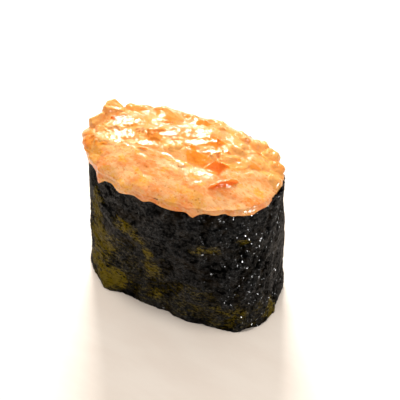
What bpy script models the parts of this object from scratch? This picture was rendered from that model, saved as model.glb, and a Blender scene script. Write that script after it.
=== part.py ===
"""Mussel gunkan: a pressed rice block, a strip of nori wrapped round it on edge, and a creamy
chopped topping that fills the cup of nori above the rice and mounds over its rim.

Metres, +Z up. The block's long axis lies along X. The origin is the middle of the footprint.
"""

import math
import random

import bmesh
import bpy
from mathutils import Vector, noise

MM = 0.001

# The strip is a half sheet of nori cut in three, 35 mm wide, so the band stands 35 mm tall.
STRIP_WIDTH = 35.0 * MM
NORI_THICK = 0.40 * MM
LAYER_GAP = 0.12 * MM
CLEARANCE = 0.30 * MM

# The band's outer outline is an oval. Its corners soften, and its ends draw in, towards the rim.
FOOT_HALF_LENGTH = 24.0 * MM
FOOT_HALF_WIDTH = 13.5 * MM
FOOT_SQUARENESS = 3.6
RIM_HALF_LENGTH = 23.4 * MM
RIM_HALF_WIDTH = 15.0 * MM
RIM_SQUARENESS = 1.95
WAIST_DRAW = 1.1 * MM

# The hem stands out a little at the +X end.
FLARE_DEPTH = 0.6 * MM
FLARE_HEIGHT = 10.0 * MM
FLARE_MIDDLE = math.radians(-8)
FLARE_ANGLE = math.radians(32)
# How far the hem stands out on the near side, most at its left corner: degrees round the block
# and the distance.
CORNER_FLARE = (
    (-148, 0.0),
    (-136, 0.4 * MM),
    (-128, 1.3 * MM),
    (-119, 2.5 * MM),
    (-111, 1.5 * MM),
    (-102, 1.0 * MM),
    (-88, 0.9 * MM),
    (-74, 0.5 * MM),
    (-60, 0.0),
)
CORNER_FLARE_HEIGHT = 12.0 * MM

# The strip starts on the long back side, goes once round and laps over its own start.
STRIP_START = math.radians(58)
COLUMNS_A_TURN = 76
LAP_COLUMNS = 14
LAP_ANGLE = math.tau * LAP_COLUMNS / COLUMNS_A_TURN
LAP_EASE = math.radians(38)
START_EASE = math.radians(14)
STRIP_ROWS = 7
CREASE_DEPTH = 0.36 * MM
CREASE_LENGTH = 8.5 * MM
PUCKER_DEPTH = 0.16 * MM
PUCKER_LENGTH = 4.4 * MM
RIM_WAVE = 0.50 * MM
HEM_LIFT = 0.40 * MM
EDGE_WAVE_LENGTH = 9.0 * MM

RICE_TOP = 24.0 * MM
RICE_CORE_BOTTOM = 0.9 * MM
RICE_LEVELS = 5
GRAIN_HALF_LENGTH = 2.75 * MM
GRAIN_HALF_WIDTH = 1.20 * MM
GRAIN_HALF_HEIGHT = 1.10 * MM
GRAIN_CENTRE_HEIGHT = 0.72 * MM
GRAIN_SPACING_X = 4.6 * MM
GRAIN_SPACING_Y = 2.60 * MM
GRAIN_SEED = 11

# The mound stands just past the nori, most at the -X end, and just inside it at the +X end.
# Along the -Y side it sags over the rim in a lip.
OVERHANG = 0.05 * MM
OVERHANG_LEAN = 0.30 * MM
OVERHANG_WAVE = 0.20 * MM
LIP_DEPTH = 0.90 * MM
LIP_MIDDLE = math.radians(-93)
LIP_ANGLE = math.radians(80)
DROOP = 1.3
EDGE_RISE = 0.45 * MM
EDGE_RISE_LEAN = 0.35 * MM
CROWN_RISE = 4.3 * MM
CROWN_LEAN = 0.90 * MM
CROWN_POWER = 2.1
CROWN_ROUNDNESS = 0.62
LUMP_HEIGHT = 0.75 * MM
LUMP_LENGTH = 7.5 * MM
KNOB_HEIGHT = 0.50 * MM
KNOB_LENGTH = 3.4 * MM
DIP_DEPTH = 1.9 * MM
DIP_WIDTH = 5.5 * MM
DIP_PLACE = Vector((-4.0 * MM, 9.5 * MM, 0.0))
MOUND_SIDES = 64
MOUND_RINGS = 21
INNER_SHARE = 0.26
SKIRT_SHARE = 0.14

# Chopped pieces lie close together on the crest and the back. The side below was smoothed over
# with a spoon, so few stand out of it.
SMOOTH_SIDE = math.radians(-74)
SMOOTH_FROM = 2.6 * MM
SMOOTH_RAMP = 5.5 * MM
CHUNK_SEED = 29
CHUNK_SPACING = 3.5 * MM
CHUNK_INSET = 0.50
CHUNK_CROWDING = 0.38
CHUNK_LONG = (3.0 * MM, 5.6 * MM)
CHUNK_NARROW = (0.55, 0.80)
CHUNK_FLATNESS = (0.42, 0.60)
ANGULAR_SINK = 0.06
ROUND_SINK = 0.30
CHUNK_CORNERS = 14
CHUNK_CORNER_REACH = (0.52, 0.62)
ROUND_SHARE = 0.25

# The larger pieces, each where it lies: shares of the mound's half length and half width, then
# length, width and height, its turn, how far it leans, and whether it is rounded.
LARGE_PIECES = (
    (-0.86, 0.16, 5.6 * MM, 5.0 * MM, 6.0 * MM, 30, 0, False),
    (-0.87, -0.14, 5.6 * MM, 5.0 * MM, 6.0 * MM, 80, 8, True),
    (-0.66, 0.45, 6.2 * MM, 3.8 * MM, 2.6 * MM, 160, 4, False),
    (-0.40, 0.62, 6.4 * MM, 4.0 * MM, 2.8 * MM, 10, -4, False),
    (-0.03, 0.66, 4.6 * MM, 3.6 * MM, 2.8 * MM, 35, 8, False),
    (0.19, 0.66, 5.2 * MM, 4.2 * MM, 2.8 * MM, -20, 6, False),
    (0.42, 0.62, 5.0 * MM, 4.4 * MM, 3.8 * MM, 0, 0, True),
    (0.60, 0.61, 4.4 * MM, 4.0 * MM, 4.4 * MM, 30, 0, True),
    (0.75, 0.53, 3.6 * MM, 3.2 * MM, 4.2 * MM, 0, 0, True),
    (0.86, 0.35, 3.2 * MM, 2.8 * MM, 4.2 * MM, 0, 0, True),
    (0.92, 0.11, 2.8 * MM, 2.8 * MM, 3.8 * MM, 0, 0, True),
    (0.30, 0.17, 5.2 * MM, 4.4 * MM, 3.0 * MM, 15, 12, False),
    (0.27, -0.25, 6.6 * MM, 5.0 * MM, 2.4 * MM, -35, 14, False),
    (0.50, -0.26, 4.4 * MM, 3.2 * MM, 2.4 * MM, 50, 12, False),
    (0.60, -0.44, 5.6 * MM, 1.8 * MM, 1.8 * MM, 54, 0, False),
    (-0.17, -0.14, 5.6 * MM, 4.4 * MM, 2.6 * MM, -15, 10, False),
    (-0.50, 0.06, 5.4 * MM, 4.2 * MM, 2.6 * MM, 30, -8, False),
)

NORI_COLOUR = (0.020, 0.022, 0.014)
RICE_COLOUR = (0.86, 0.84, 0.78)
TOPPING_COLOUR = (0.93, 0.45, 0.16)


def blend(low, high, share):
    """Linear step from low to high."""
    return low + (high - low) * share


def ease(value):
    """Smooth 0 to 1 over 0 to 1, flat outside."""
    value = min(1.0, max(0.0, value))
    return value * value * (3.0 - 2.0 * value)


def oval_point(angle, half_length, half_width, squareness):
    """A point of a superellipse, spread round it like the points of an ellipse."""
    x, y = half_length * math.cos(angle), half_width * math.sin(angle)
    reach = (abs(x / half_length) ** squareness + abs(y / half_width) ** squareness) ** (1 / squareness)
    return Vector((x / reach, y / reach, 0.0))


def band_outline(angle, height):
    """The band's outer outline at a height, before its creases."""
    up = min(1.0, max(0.0, height / STRIP_WIDTH))
    # The waist is drawn in at the -X end only, most at about a third of the height.
    waist = WAIST_DRAW * math.sin(math.pi * up**0.6) ** 2 * (0.5 - 0.5 * math.cos(angle))
    share = ease(up)
    point = oval_point(
        angle,
        blend(FOOT_HALF_LENGTH, RIM_HALF_LENGTH, share) - waist,
        blend(FOOT_HALF_WIDTH, RIM_HALF_WIDTH, share) - 0.4 * waist,
        blend(FOOT_SQUARENESS, RIM_SQUARENESS, share),
    )
    point.z = height
    return point


def outward(angle, height):
    """The outline's outward normal, level with the table."""
    step = math.radians(0.5)
    along = band_outline(angle + step, height) - band_outline(angle - step, height)
    return Vector((along.y, -along.x, 0.0)).normalized()


def creases(point):
    """How far the nori stands out or in at a place, the same for both layers of the lap."""
    broad = noise.noise(point / CREASE_LENGTH)
    fine = noise.noise(point / PUCKER_LENGTH + Vector((7.0, 3.0, 5.0)))
    return CREASE_DEPTH * broad + PUCKER_DEPTH * fine


def wall_point(angle, height, offset):
    """A point at an offset from the band's creased outer face."""
    point = band_outline(angle, height)
    return point + outward(angle, height) * (offset + creases(point))


def hem_flare(angle, height):
    """How far the hem stands out from the band's outline."""
    aside = math.remainder(angle - FLARE_MIDDLE, math.tau) / FLARE_ANGLE
    return FLARE_DEPTH * ease(1.0 - abs(aside)) * ease(1.0 - height / FLARE_HEIGHT)


def corner_flare(angle, height):
    """How far the hem stands out from the band's outline on the near side."""
    turned = math.degrees(math.remainder(angle, math.tau))
    depth = 0.0
    for (start, low), (end, high) in zip(CORNER_FLARE, CORNER_FLARE[1:]):
        if start <= turned < end:
            depth = blend(low, high, (turned - start) / (end - start))
    return depth * ease(1.0 - height / CORNER_FLARE_HEIGHT)


def tuck(turned):
    """How far the strip's first stretch sits inside the outer face, to leave room for the lap."""
    return (NORI_THICK + LAYER_GAP) * (1.0 - ease((turned - LAP_ANGLE) / LAP_EASE))


def inner_room(angle):
    """The offset from the outer face to the band's innermost face, all round."""
    turned = (angle - STRIP_START) % math.tau
    before = ease(1.0 - (math.tau - turned) / START_EASE)
    return -NORI_THICK - max(tuck(turned), before * (NORI_THICK + LAYER_GAP))


def edge_wave(turned, phase):
    """A slow wave, -1 to 1, along an edge of the strip."""
    along = turned * FOOT_HALF_LENGTH / EDGE_WAVE_LENGTH
    return noise.noise(Vector((along, phase, 0.3))) + 0.4 * noise.noise(Vector((2.7 * along, phase, 4.1)))


def rim_height(turned):
    """Height of the strip's upper edge where it has turned this far from its start."""
    return STRIP_WIDTH + RIM_WAVE * edge_wave(turned, 1.7)


def hem_height(turned):
    """Height of the strip's lower edge: it lies on the table, lifted a little here and there."""
    return max(0.0, HEM_LIFT * edge_wave(turned, 8.2))


def rim_above(angle):
    """The higher of the rims at an angle, where the strip lies once or twice."""
    turned = (angle - STRIP_START) % math.tau
    heights = [rim_height(turned)]
    if turned <= LAP_ANGLE + START_EASE:
        heights.append(rim_height(turned + math.tau))
    if turned >= math.tau - START_EASE:
        heights.append(rim_height(turned - math.tau))
    return max(heights)


def new_object(name, mesh, collection):
    """Links a mesh as a named object."""
    obj = bpy.data.objects.new(name, mesh)
    collection.objects.link(obj)
    return obj


def finish(obj, colour, roughness):
    """Gives a piece its material and smooth shading."""
    material = bpy.data.materials.new(obj.name + "_surface")
    material.use_nodes = True
    shader = material.node_tree.nodes["Principled BSDF"]
    shader.inputs["Base Color"].default_value = (*colour, 1.0)
    shader.inputs["Roughness"].default_value = roughness
    obj.data.materials.clear()
    obj.data.materials.append(material)
    obj.data.shade_smooth()


def from_bmesh(name, shape, collection):
    """Turns a bmesh into a linked object."""
    mesh = bpy.data.meshes.new(name)
    shape.to_mesh(mesh)
    shape.free()
    return new_object(name, mesh, collection)


def apply_modifiers(obj):
    """Replaces a mesh by what its modifiers make of it."""
    bpy.context.view_layer.update()
    graph = bpy.context.evaluated_depsgraph_get()
    made = bpy.data.meshes.new_from_object(obj.evaluated_get(graph))
    obj.modifiers.clear()
    obj.data = made


def keep_largest(obj):
    """Drops the loose scraps that a Boolean can leave."""
    shape = bmesh.new()
    shape.from_mesh(obj.data)
    waiting = set(shape.verts)
    islands = []
    while waiting:
        island = set()
        edge = [waiting.pop()]
        while edge:
            vert = edge.pop()
            island.add(vert)
            near = {link.other_vert(vert) for link in vert.link_edges} & waiting
            waiting -= near
            edge.extend(near)
        islands.append(island)
    islands.sort(key=len)
    for island in islands[:-1]:
        bmesh.ops.delete(shape, geom=list(island), context="VERTS")
    shape.to_mesh(obj.data)
    shape.free()


def fuse(obj, pieces, collection):
    """Joins a collection of pieces to an object with one union, and removes them."""
    union = obj.modifiers.new("Fused pieces", "BOOLEAN")
    union.operation = "UNION"
    union.operand_type = "COLLECTION"
    union.collection = collection
    union.solver = "EXACT"
    apply_modifiers(obj)
    for piece in pieces:
        bpy.data.objects.remove(piece)
    bpy.data.collections.remove(collection)
    keep_largest(obj)


def cut(obj, cutter):
    """Cuts one solid out of another."""
    difference = obj.modifiers.new("Cut", "BOOLEAN")
    difference.operation = "DIFFERENCE"
    difference.object = cutter
    difference.solver = "EXACT"
    apply_modifiers(obj)
    keep_largest(obj)


def make_nori(collection):
    """The strip: a flat grid wound on edge along the band's path, then given its thickness."""
    shape = bmesh.new()
    columns = COLUMNS_A_TURN + LAP_COLUMNS
    bmesh.ops.create_grid(shape, x_segments=columns, y_segments=STRIP_ROWS, size=1.0)
    for vert in shape.verts:
        along, up = (vert.co.x + 1.0) / 2.0, (vert.co.y + 1.0) / 2.0
        turned = along * (math.tau + LAP_ANGLE)
        inset = tuck(turned) if turned < LAP_ANGLE + LAP_EASE else 0.0
        height = blend(hem_height(turned), rim_height(turned), up)
        flare = hem_flare(STRIP_START + turned, height) + corner_flare(STRIP_START + turned, height)
        vert.co = wall_point(STRIP_START + turned, height, flare - inset)
    bmesh.ops.recalc_face_normals(shape, faces=shape.faces)
    middle = min(shape.faces, key=lambda face: abs(face.calc_center_median().z - STRIP_WIDTH / 2))
    if middle.normal.dot(middle.calc_center_median().xy.to_3d()) < 0.0:
        bmesh.ops.reverse_faces(shape, faces=shape.faces)
    nori = from_bmesh("nori", shape, collection)
    wall = nori.modifiers.new("Sheet thickness", "SOLIDIFY")
    wall.thickness = NORI_THICK
    wall.offset = -1.0
    wall.use_even_offset = True
    apply_modifiers(nori)
    for vert in nori.data.vertices:
        vert.co.z = max(0.0, vert.co.z)
    finish(nori, NORI_COLOUR, 0.35)
    return nori


def make_rim_cutter(collection):
    """A ring the shape of the band with clearance all round, which the topping is cut by."""
    levels = 3
    last_row = 2 * levels + 1
    shape = bmesh.new()
    bmesh.ops.create_grid(shape, x_segments=COLUMNS_A_TURN, y_segments=last_row, size=1.0)
    span = 4.5 * MM
    for vert in shape.verts:
        angle = STRIP_START + (vert.co.x + 1.0) / 2.0 * math.tau
        row = round((vert.co.y + 1.0) / 2.0 * last_row)
        outside = row <= levels
        up = (row if outside else last_row - row) / levels
        top = rim_above(angle) + CLEARANCE
        offset = CLEARANCE if outside else inner_room(angle) - CLEARANCE
        height = STRIP_WIDTH - span + up * (top - STRIP_WIDTH + span)
        vert.co = wall_point(angle, height, offset)
    bmesh.ops.remove_doubles(shape, verts=shape.verts, dist=0.001 * MM)
    ends = [edge for edge in shape.edges if edge.is_boundary]
    bmesh.ops.bridge_loops(shape, edges=ends)
    bmesh.ops.recalc_face_normals(shape, faces=shape.faces)
    cutter = from_bmesh("rim_cutter", shape, collection)
    cutter.hide_render = True
    cutter.display_type = "WIRE"
    return cutter


def make_grain(centre, yaw, pitch, collection):
    """One short grain of rice, with few sides."""
    shape = bmesh.new()
    bmesh.ops.create_uvsphere(shape, u_segments=5, v_segments=4, radius=1.0)
    for vert in shape.verts:
        # The sphere's poles lie along the grain.
        vert.co = Vector(
            (vert.co.z * GRAIN_HALF_LENGTH, vert.co.x * GRAIN_HALF_WIDTH, vert.co.y * GRAIN_HALF_HEIGHT)
        )
    grain = from_bmesh("grain", shape, collection)
    grain.rotation_euler = (0.0, pitch, yaw)
    grain.location = centre
    return grain


def make_rice_core(collection):
    """The block inside the band: a wound grid, closed at its top and bottom."""
    shape = bmesh.new()
    bmesh.ops.create_grid(shape, x_segments=COLUMNS_A_TURN, y_segments=RICE_LEVELS, size=1.0)
    for vert in shape.verts:
        angle = STRIP_START + (vert.co.x + 1.0) / 2.0 * math.tau
        height = blend(RICE_CORE_BOTTOM, RICE_TOP, (vert.co.y + 1.0) / 2.0)
        vert.co = wall_point(angle, height, inner_room(angle) - CLEARANCE)
    bmesh.ops.remove_doubles(shape, verts=shape.verts, dist=0.001 * MM)
    ends = [edge for edge in shape.edges if edge.is_boundary]
    bmesh.ops.holes_fill(shape, edges=ends)
    bmesh.ops.recalc_face_normals(shape, faces=shape.faces)
    return from_bmesh("rice", shape, collection)


def make_rice(collection):
    """The pressed rice: an oval block that fills the band, with the grains that show below it."""
    rice = make_rice_core(collection)
    grains = bpy.data.collections.new("grains")
    bpy.context.scene.collection.children.link(grains)
    draw = random.Random(GRAIN_SEED)
    made = [make_grain(Vector((0.0, 0.0, GRAIN_CENTRE_HEIGHT)), 0.35, 0.0, grains)]
    across = int(FOOT_HALF_WIDTH / GRAIN_SPACING_Y)
    along = int(FOOT_HALF_LENGTH / GRAIN_SPACING_X) + 1
    edge_room = GRAIN_HALF_WIDTH + NORI_THICK + LAYER_GAP + CLEARANCE
    for row in range(-across, across + 1):
        for column in range(-along, along + 1):
            x = (column + 0.5 * (row % 2)) * GRAIN_SPACING_X + draw.uniform(-0.6, 0.6) * MM
            y = row * GRAIN_SPACING_Y + draw.uniform(-0.35, 0.35) * MM
            yaw = draw.gauss(0.0, 0.75)
            pitch = draw.gauss(0.0, 0.10)
            lift = draw.uniform(-0.10, 0.22) * MM
            room_x = FOOT_HALF_LENGTH - GRAIN_HALF_LENGTH * abs(math.cos(yaw)) - edge_room
            room_y = FOOT_HALF_WIDTH - GRAIN_HALF_LENGTH * abs(math.sin(yaw)) - edge_room
            inside = abs(x / room_x) ** FOOT_SQUARENESS + abs(y / room_y) ** FOOT_SQUARENESS
            if inside > 1.0 or math.hypot(x, y) < 0.55 * GRAIN_SPACING_X:
                continue
            made.append(make_grain(Vector((x, y, GRAIN_CENTRE_HEIGHT + lift)), yaw, pitch, grains))
    fuse(rice, made, grains)

    shape = bmesh.new()
    shape.from_mesh(rice.data)
    whole = shape.verts[:] + shape.edges[:] + shape.faces[:]
    table = bmesh.ops.bisect_plane(
        shape, geom=whole, plane_co=(0.0, 0.0, 0.0), plane_no=(0.0, 0.0, -1.0), clear_outer=True
    )
    rims = [part for part in table["geom_cut"] if isinstance(part, bmesh.types.BMEdge)]
    bmesh.ops.holes_fill(shape, edges=rims)
    shape.to_mesh(rice.data)
    shape.free()
    finish(rice, RICE_COLOUR, 0.5)
    return rice


def smoothed(x, y):
    """How far a place lies on the side that was smoothed over: 0 on the crest, 1 at that rim."""
    across = x * math.cos(SMOOTH_SIDE) + y * math.sin(SMOOTH_SIDE)
    return ease((across - SMOOTH_FROM) / SMOOTH_RAMP)


def overhang(angle):
    """How far the mound's widest line stands out from the nori's outer face."""
    wave = noise.noise(Vector((3.0 * math.cos(angle), 3.0 * math.sin(angle), 2.5)))
    aside = math.remainder(angle - LIP_MIDDLE, math.tau) / LIP_ANGLE
    lip = LIP_DEPTH * ease(1.6 * (1.0 - abs(aside)))
    return OVERHANG - OVERHANG_LEAN * math.cos(angle) + OVERHANG_WAVE * wave + lip


def mound_top(angle, reach):
    """A point of the mound over the rim: reach is 1 at its widest line and 0 in the middle."""
    edge = wall_point(angle, STRIP_WIDTH, overhang(angle))
    x, y = edge.x * reach, edge.y * reach
    rise = EDGE_RISE - EDGE_RISE_LEAN * math.cos(angle) * reach
    crown = (CROWN_RISE - CROWN_LEAN * x / RIM_HALF_LENGTH) * (1.0 - reach**CROWN_POWER) ** CROWN_ROUNDNESS
    lump = LUMP_HEIGHT * noise.noise(Vector((x, y, 0.0)) / LUMP_LENGTH + Vector((2.0, 9.0, 1.0)))
    knob = KNOB_HEIGHT * noise.noise(Vector((x, y, 0.0)) / KNOB_LENGTH + Vector((5.0, 1.0, 6.0)))
    rough = (lump + knob * (1.0 - 0.6 * smoothed(x, y))) * ease(2.5 * (1.0 - reach) + 0.3)
    dip = DIP_DEPTH * math.exp(-(((Vector((x, y, 0.0)) - DIP_PLACE).length / DIP_WIDTH) ** 2))
    return Vector((x, y, STRIP_WIDTH + rise + crown + rough - dip))


def make_mound(collection):
    """The topping's body: a plug in the cup of nori, a lip over the rim and the mound above."""
    shape = bmesh.new()
    bmesh.ops.create_uvsphere(shape, u_segments=MOUND_SIDES, v_segments=MOUND_RINGS, radius=1.0)
    for vert in shape.verts:
        angle = math.atan2(vert.co.y, vert.co.x)
        share = 1.0 - math.acos(max(-1.0, min(1.0, vert.co.z))) / math.pi
        inner = inner_room(angle) - CLEARANCE - 0.05 * MM
        if share <= INNER_SHARE:
            # From the middle of the underside out to the wall, then up inside the band.
            step = share / INNER_SHARE
            spread = min(1.0, step / 0.55)
            rise = max(0.0, (step - 0.55) / 0.45)
            height = blend(RICE_TOP + CLEARANCE, STRIP_WIDTH - 2.2 * MM, rise)
            place = wall_point(angle, height, inner)
            vert.co = Vector((place.x * spread, place.y * spread, height))
            continue
        step = (share - INNER_SHARE) / (1.0 - INNER_SHARE)
        if step < SKIRT_SHARE:
            # The lip: it starts lower where the mound stands further out.
            drop = DROOP * max(0.0, overhang(angle))
            low = wall_point(angle, STRIP_WIDTH - drop, 0.75 * overhang(angle))
            vert.co = low.lerp(mound_top(angle, 1.0), ease(step / SKIRT_SHARE))
            continue
        fall = (step - SKIRT_SHARE) / (1.0 - SKIRT_SHARE)
        vert.co = mound_top(angle, math.cos(fall * math.pi / 2.0) ** 0.7)
    return from_bmesh("topping", shape, collection)


def make_chunk(centre, size, turn, rounded, draw, collection):
    """One chopped piece: an angular bit with its corners spread at random, or a rounded lump."""
    shape = bmesh.new()
    if rounded:
        bmesh.ops.create_icosphere(shape, subdivisions=2, radius=0.5)
    else:
        for _ in range(CHUNK_CORNERS):
            aim = Vector([draw.gauss(0.0, 1.0) for _ in range(3)]).normalized()
            shape.verts.new(aim * draw.uniform(*CHUNK_CORNER_REACH))
        hull = bmesh.ops.convex_hull(shape, input=shape.verts[:])
        spare = [part for part in hull["geom_interior"] if isinstance(part, bmesh.types.BMVert)]
        bmesh.ops.delete(shape, geom=spare, context="VERTS")
    bmesh.ops.scale(shape, vec=size, verts=shape.verts)
    chunk = from_bmesh("chunk", shape, collection)
    chunk.rotation_euler = turn
    chunk.location = centre
    return chunk


def near_large_piece(x, y, long):
    """Whether a piece of this length at this place would lie on one of the larger ones."""
    for x_share, y_share, large, *_ in LARGE_PIECES:
        apart = math.hypot(x - x_share * RIM_HALF_LENGTH, y - y_share * RIM_HALF_WIDTH)
        if apart < CHUNK_CROWDING * (long + large):
            return True
    return False


def scattered_chunks(draw, collection):
    """The smaller chopped pieces, a few millimetres apart between the larger ones."""
    made = []
    rows = int(RIM_HALF_WIDTH / CHUNK_SPACING) + 1
    columns = int(RIM_HALF_LENGTH / CHUNK_SPACING) + 1
    for row in range(-rows, rows + 1):
        for column in range(-columns, columns + 1):
            x = (column + 0.5 * (row % 2) + draw.uniform(-0.3, 0.3)) * CHUNK_SPACING
            y = (row + draw.uniform(-0.3, 0.3)) * CHUNK_SPACING
            long = draw.uniform(*CHUNK_LONG)
            size = Vector((long, long * draw.uniform(*CHUNK_NARROW), long * draw.uniform(*CHUNK_FLATNESS)))
            turn = (draw.gauss(0.0, 0.20), draw.gauss(0.0, 0.20), draw.uniform(0.0, math.tau))
            rounded = draw.random() < ROUND_SHARE
            keep = draw.random() > 0.9 * smoothed(x, y) ** 0.5
            inset = CHUNK_INSET * long
            inside = math.hypot(x / (RIM_HALF_LENGTH - inset), y / (RIM_HALF_WIDTH - inset)) < 1.0
            if not inside or not keep or near_large_piece(x, y, long):
                continue
            reach = math.hypot(x / RIM_HALF_LENGTH, y / RIM_HALF_WIDTH)
            place = mound_top(math.atan2(y / RIM_HALF_WIDTH, x / RIM_HALF_LENGTH), reach)
            place.z -= (ROUND_SINK if rounded else ANGULAR_SINK) * size.z
            made.append(make_chunk(place, size, turn, rounded, draw, collection))
    return made


def make_topping(collection, cutter):
    """The mound with its chopped pieces fused on, cut clear of the nori's rim."""
    topping = make_mound(collection)
    chunks = bpy.data.collections.new("chunks")
    bpy.context.scene.collection.children.link(chunks)
    draw = random.Random(CHUNK_SEED)
    made = scattered_chunks(draw, chunks)
    for x_share, y_share, long, wide, high, yaw, lean, rounded in LARGE_PIECES:
        reach = math.hypot(x_share, y_share)
        place = mound_top(math.atan2(y_share, x_share), reach)
        place.z -= (ROUND_SINK if rounded else ANGULAR_SINK) * high
        turn = (0.0, math.radians(lean), math.radians(yaw))
        made.append(make_chunk(place, Vector((long, wide, high)), turn, rounded, draw, chunks))
    fuse(topping, made, chunks)
    cut(topping, cutter)
    finish(topping, TOPPING_COLOUR, 0.3)
    return topping


def main():
    for obj in list(bpy.data.objects):
        bpy.data.objects.remove(obj)
    parts = bpy.data.collections.new("mussel_gunkan")
    helpers = bpy.data.collections.new("cutters")
    bpy.context.scene.collection.children.link(parts)
    bpy.context.scene.collection.children.link(helpers)
    make_rice(parts)
    make_nori(parts)
    make_topping(parts, make_rim_cutter(helpers))


main()
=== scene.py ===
"""The looks of a mussel gunkan: crinkled nori round pressed rice, and over them a glossy heap of
chopped mussel in creamy sauce. Metres, +Z up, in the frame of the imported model.
"""

import math
import random

import bmesh
import bpy
from mathutils import Euler, Matrix, Vector, noise
from mathutils.bvhtree import BVHTree


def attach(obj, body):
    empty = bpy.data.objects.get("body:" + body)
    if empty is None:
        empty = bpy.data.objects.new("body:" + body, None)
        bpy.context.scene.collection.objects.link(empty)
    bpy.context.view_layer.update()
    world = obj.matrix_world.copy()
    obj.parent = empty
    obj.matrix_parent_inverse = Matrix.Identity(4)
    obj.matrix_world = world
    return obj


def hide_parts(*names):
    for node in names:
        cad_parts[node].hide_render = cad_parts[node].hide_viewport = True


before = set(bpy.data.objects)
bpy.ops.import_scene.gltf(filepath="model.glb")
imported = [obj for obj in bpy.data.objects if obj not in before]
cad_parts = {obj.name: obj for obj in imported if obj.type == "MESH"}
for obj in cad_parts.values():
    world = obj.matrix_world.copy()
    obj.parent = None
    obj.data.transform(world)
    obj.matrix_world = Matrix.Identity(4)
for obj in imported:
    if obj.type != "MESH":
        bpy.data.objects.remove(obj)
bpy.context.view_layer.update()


# The nori: a half sheet of toasted seaweed cut in three, so 35 mm wide and about 150 mm long.
# It is wound on edge round the rice, laps over its own start on the far long side, and sticks
# there by its own damp. The moisture of the rice has drawn it into fine crinkles.
MM = 0.001
NOISE_SEED = 5
STRIP_WIDTH = 35.0 * MM
STRIP_LENGTH = 150.0 * MM
NORI_THICK = 0.40 * MM
LAYER_GAP = 0.12 * MM
FOOT_HALF_LENGTH, FOOT_HALF_WIDTH, FOOT_SQUARENESS = 24.0 * MM, 13.5 * MM, 3.6
RIM_HALF_LENGTH, RIM_HALF_WIDTH, RIM_SQUARENESS = 23.4 * MM, 15.0 * MM, 1.95
WAIST_DRAW = 1.1 * MM
FLARE_DEPTH, FLARE_HEIGHT = 1.4 * MM, 9.0 * MM
FLARE_MIDDLE, FLARE_ANGLE = math.radians(-10), math.radians(30)
STRIP_START = math.radians(58)
LAP_ANGLE = math.tau * 14 / 76
LAP_EASE = math.radians(38)
STRIP_COLUMNS, STRIP_ROWS = 456, 98
CREASE_DEPTH, CREASE_LENGTH = 0.36 * MM, 8.5 * MM
PUCKER_DEPTH, PUCKER_LENGTH = 0.16 * MM, 4.4 * MM
RIM_WAVE, HEM_LIFT, EDGE_WAVE_LENGTH = 0.50 * MM, 0.40 * MM, 9.0 * MM
EDGE_NICK, EDGE_NICK_LENGTH = 0.38 * MM, 1.1 * MM
FOLD_DEPTH, FOLD_WIDTH, FOLD_LENGTH = 0.55 * MM, 3.2 * MM, 8.0 * MM
FOLD_TWIST_LEFT, FOLD_TWIST_RIGHT = 1.5, -0.45
FOLD_SHARPNESS, FOLD_WANDER, FOLD_WANDER_LENGTH = 3.4, 0.05, 4.0 * MM
WRINKLE_DEPTH, WRINKLE_LENGTH = 0.16 * MM, 0.95 * MM
# How far the hem stands out on the near side, most at its left corner: degrees round the block
# and the distance.
CORNER_FLARE = (
    (-148, 0.0),
    (-136, 0.4 * MM),
    (-128, 1.3 * MM),
    (-119, 2.8 * MM),
    (-111, 1.6 * MM),
    (-102, 1.1 * MM),
    (-88, 0.9 * MM),
    (-74, 0.5 * MM),
    (-60, 0.0),
)
CORNER_FLARE_HEIGHT = 12.0 * MM
# The band's mean radius turns an angle round it into a length.
MEAN_RADIUS = 19.0 * MM


def blend(low, high, share):
    """Linear step from low to high."""
    return low + (high - low) * share


def ease(value):
    """Smooth 0 to 1 over 0 to 1, flat outside."""
    value = min(1.0, max(0.0, value))
    return value * value * (3.0 - 2.0 * value)


def oval_point(angle, half_length, half_width, squareness):
    """A point of a superellipse, spread round it like the points of an ellipse."""
    x, y = half_length * math.cos(angle), half_width * math.sin(angle)
    reach = (abs(x / half_length) ** squareness + abs(y / half_width) ** squareness) ** (1 / squareness)
    return Vector((x / reach, y / reach, 0.0))


def band_outline(angle, height):
    """The band's outer outline at a height, before its creases."""
    up = min(1.0, max(0.0, height / STRIP_WIDTH))
    waist = WAIST_DRAW * math.sin(math.pi * up**0.6) ** 2 * (0.5 - 0.5 * math.cos(angle))
    share = ease(up)
    point = oval_point(
        angle,
        blend(FOOT_HALF_LENGTH, RIM_HALF_LENGTH, share) - waist,
        blend(FOOT_HALF_WIDTH, RIM_HALF_WIDTH, share) - 0.4 * waist,
        blend(FOOT_SQUARENESS, RIM_SQUARENESS, share),
    )
    point.z = height
    return point


def outward(angle, height):
    """The outline's outward normal, level with the table."""
    step = math.radians(0.5)
    along = band_outline(angle + step, height) - band_outline(angle - step, height)
    return Vector((along.y, -along.x, 0.0)).normalized()


def creases(point):
    """The broad creases that the solid strip has too."""
    broad = noise.noise(point / CREASE_LENGTH)
    fine = noise.noise(point / PUCKER_LENGTH + Vector((7.0, 3.0, 5.0)))
    return CREASE_DEPTH * broad + PUCKER_DEPTH * fine


def folds(angle, point, twist):
    """Long folds wound round the block, -1 in a valley to 1 on a sharp ridge."""
    wander = FOLD_WANDER * noise.noise(point / FOLD_WANDER_LENGTH)
    bent = angle + twist * point.z / FOOT_HALF_LENGTH + wander
    turn = FOOT_HALF_LENGTH * 0.8 / FOLD_WIDTH
    place = Vector((turn * math.cos(bent), turn * math.sin(bent), point.z / FOLD_LENGTH + twist))
    return 1.0 - FOLD_SHARPNESS * abs(noise.noise(place))


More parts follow.
